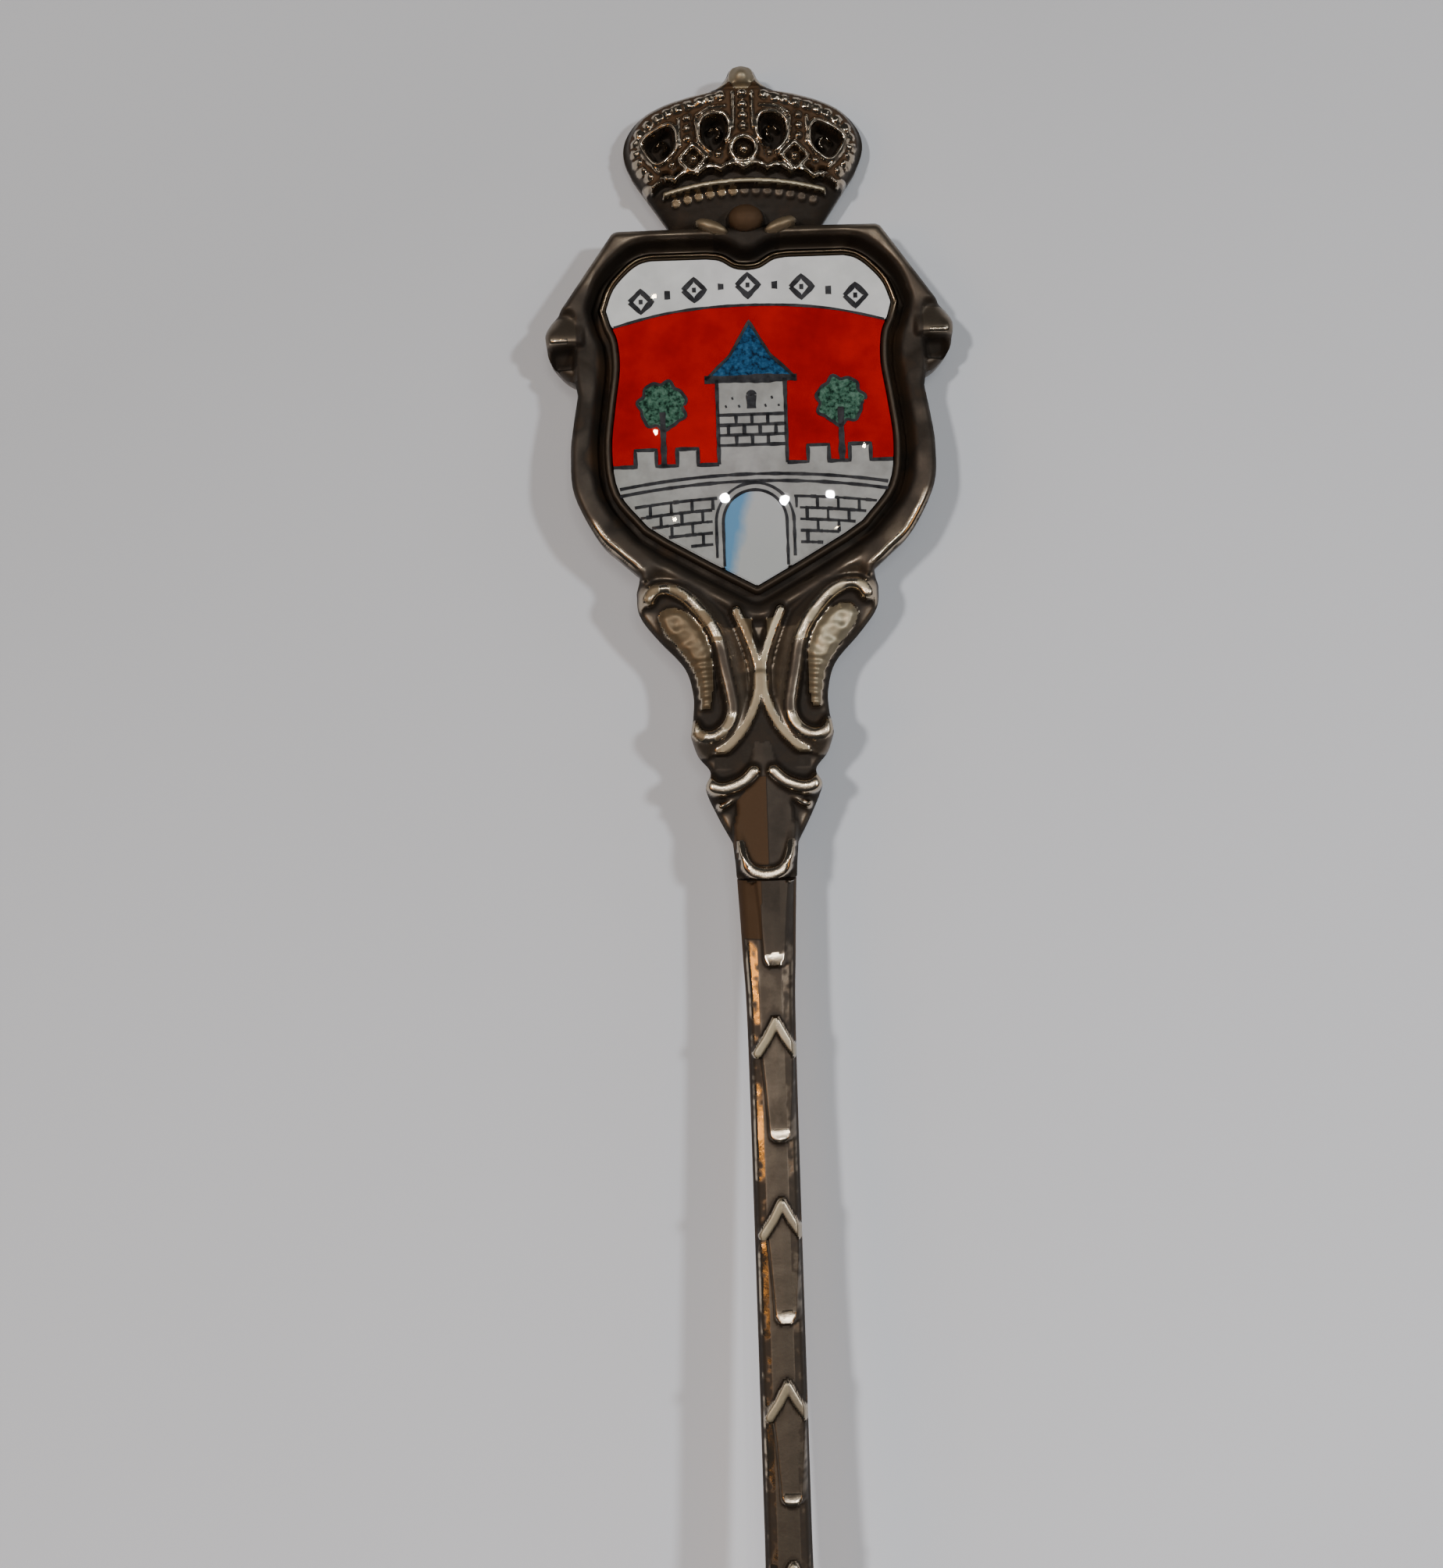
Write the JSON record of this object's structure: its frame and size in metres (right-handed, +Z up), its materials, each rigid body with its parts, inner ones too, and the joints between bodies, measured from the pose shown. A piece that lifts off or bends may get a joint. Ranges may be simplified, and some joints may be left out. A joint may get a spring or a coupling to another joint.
{
  "type": "souvenir spoon",
  "caption": "Small display spoon with a plain oval bowl, a slim patterned stem, and a crowned shield finial that holds a domed enamel badge.",
  "frame": {"origin": "centre of the bottom of the bounding box, on the surface that the spoon lies on face up", "axes": "+Y along the spoon from the bowl towards the crown, +Z up out of the front, +X to the right when the crown points away"},
  "size_m": [0.0242, 0.118, 0.0075],
  "materials": {
    "old_silver": "silver plate, warm and worn on the high spots, dark oxide in the recesses",
    "dark_tray_metal": "thin stamped metal, darkened",
    "cement": "dull set cement",
    "white_enamel": "glossy fired enamel",
    "red_enamel": "glossy fired enamel",
    "pale_blue_enamel": "glossy fired enamel",
    "blue_enamel": "glossy fired enamel",
    "green_enamel": "glossy fired enamel",
    "black_enamel": "black painted line under the flux",
    "clear_flux": "clear domed flux over the picture"
  },
  "bodies": {
    "root": {"spoon_blank": "old_silver", "finial_frame": "old_silver", "crown": "old_silver", "badge_tray": "dark_tray_metal", "cement_bed": "cement", "enamel_banner": "white_enamel", "enamel_sky": "red_enamel", "enamel_castle": "white_enamel", "enamel_gate": "pale_blue_enamel", "enamel_roof": "blue_enamel", "enamel_tree_left": "green_enamel", "enamel_tree_right": "green_enamel", "clear_flux": "clear_flux"}
  },
  "joints": []
}
